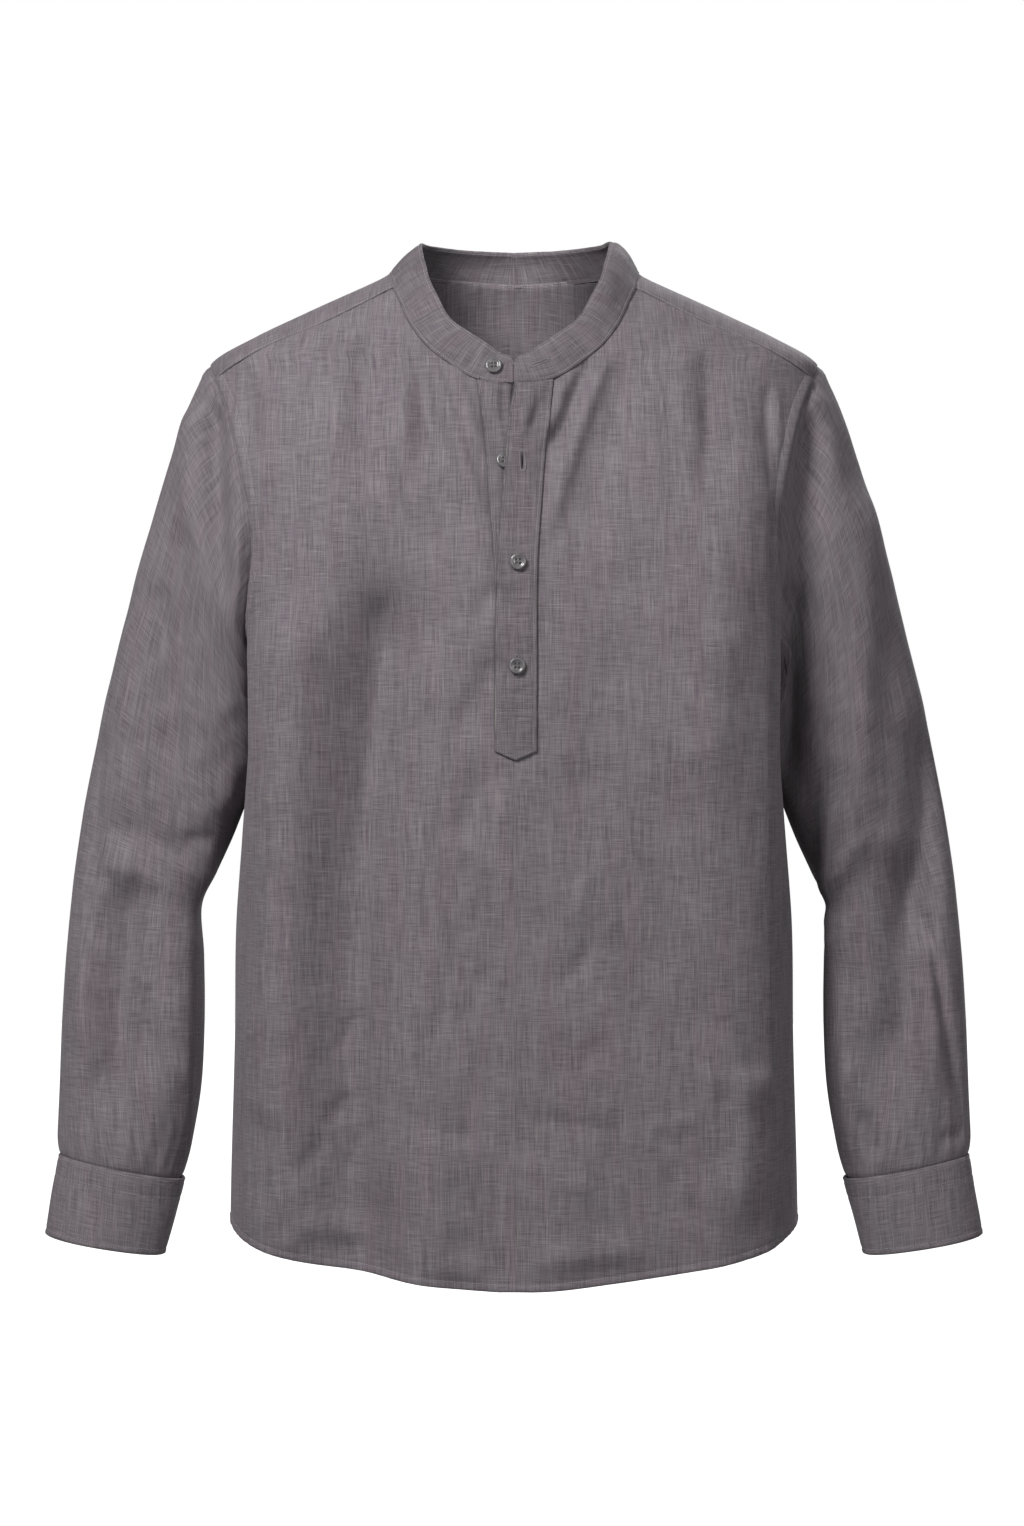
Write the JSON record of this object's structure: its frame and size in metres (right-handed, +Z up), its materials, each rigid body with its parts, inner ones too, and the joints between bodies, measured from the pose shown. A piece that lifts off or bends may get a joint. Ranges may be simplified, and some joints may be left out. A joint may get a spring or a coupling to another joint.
{
  "type": "band collar shirt",
  "caption": "Long-sleeved band collar shirt with a half-length button placket, filled out and hollow, open at neck, hem and cuffs.",
  "frame": {"origin": "middle of the neck at the height of the shoulder points, where the wearer's neck and shoulders hold the shirt", "axes": "+Z up along the shirt's length, +Y towards its back (the front faces -Y), +X towards the wearer's left"},
  "size_m": [0.6786, 0.2661, 0.7495],
  "materials": {
    "cloth": "matte grey slub weave with a faint purple-brown cast",
    "button": "polished dark grey resin with a raised rim"
  },
  "bodies": {
    "root": {"front_body": "cloth", "back_body": "cloth", "yoke": "cloth", "placket_under": "cloth", "placket_upper": "cloth", "collar_band": "cloth", "sleeve_left": "cloth", "sleeve_right": "cloth", "cuff_left": "cloth", "cuff_right": "cloth", "collar_button": "button", "placket_button_1": "button", "placket_button_2": "button", "placket_button_3": "button", "cuff_button_left": "button", "cuff_button_right": "button"}
  },
  "joints": []
}
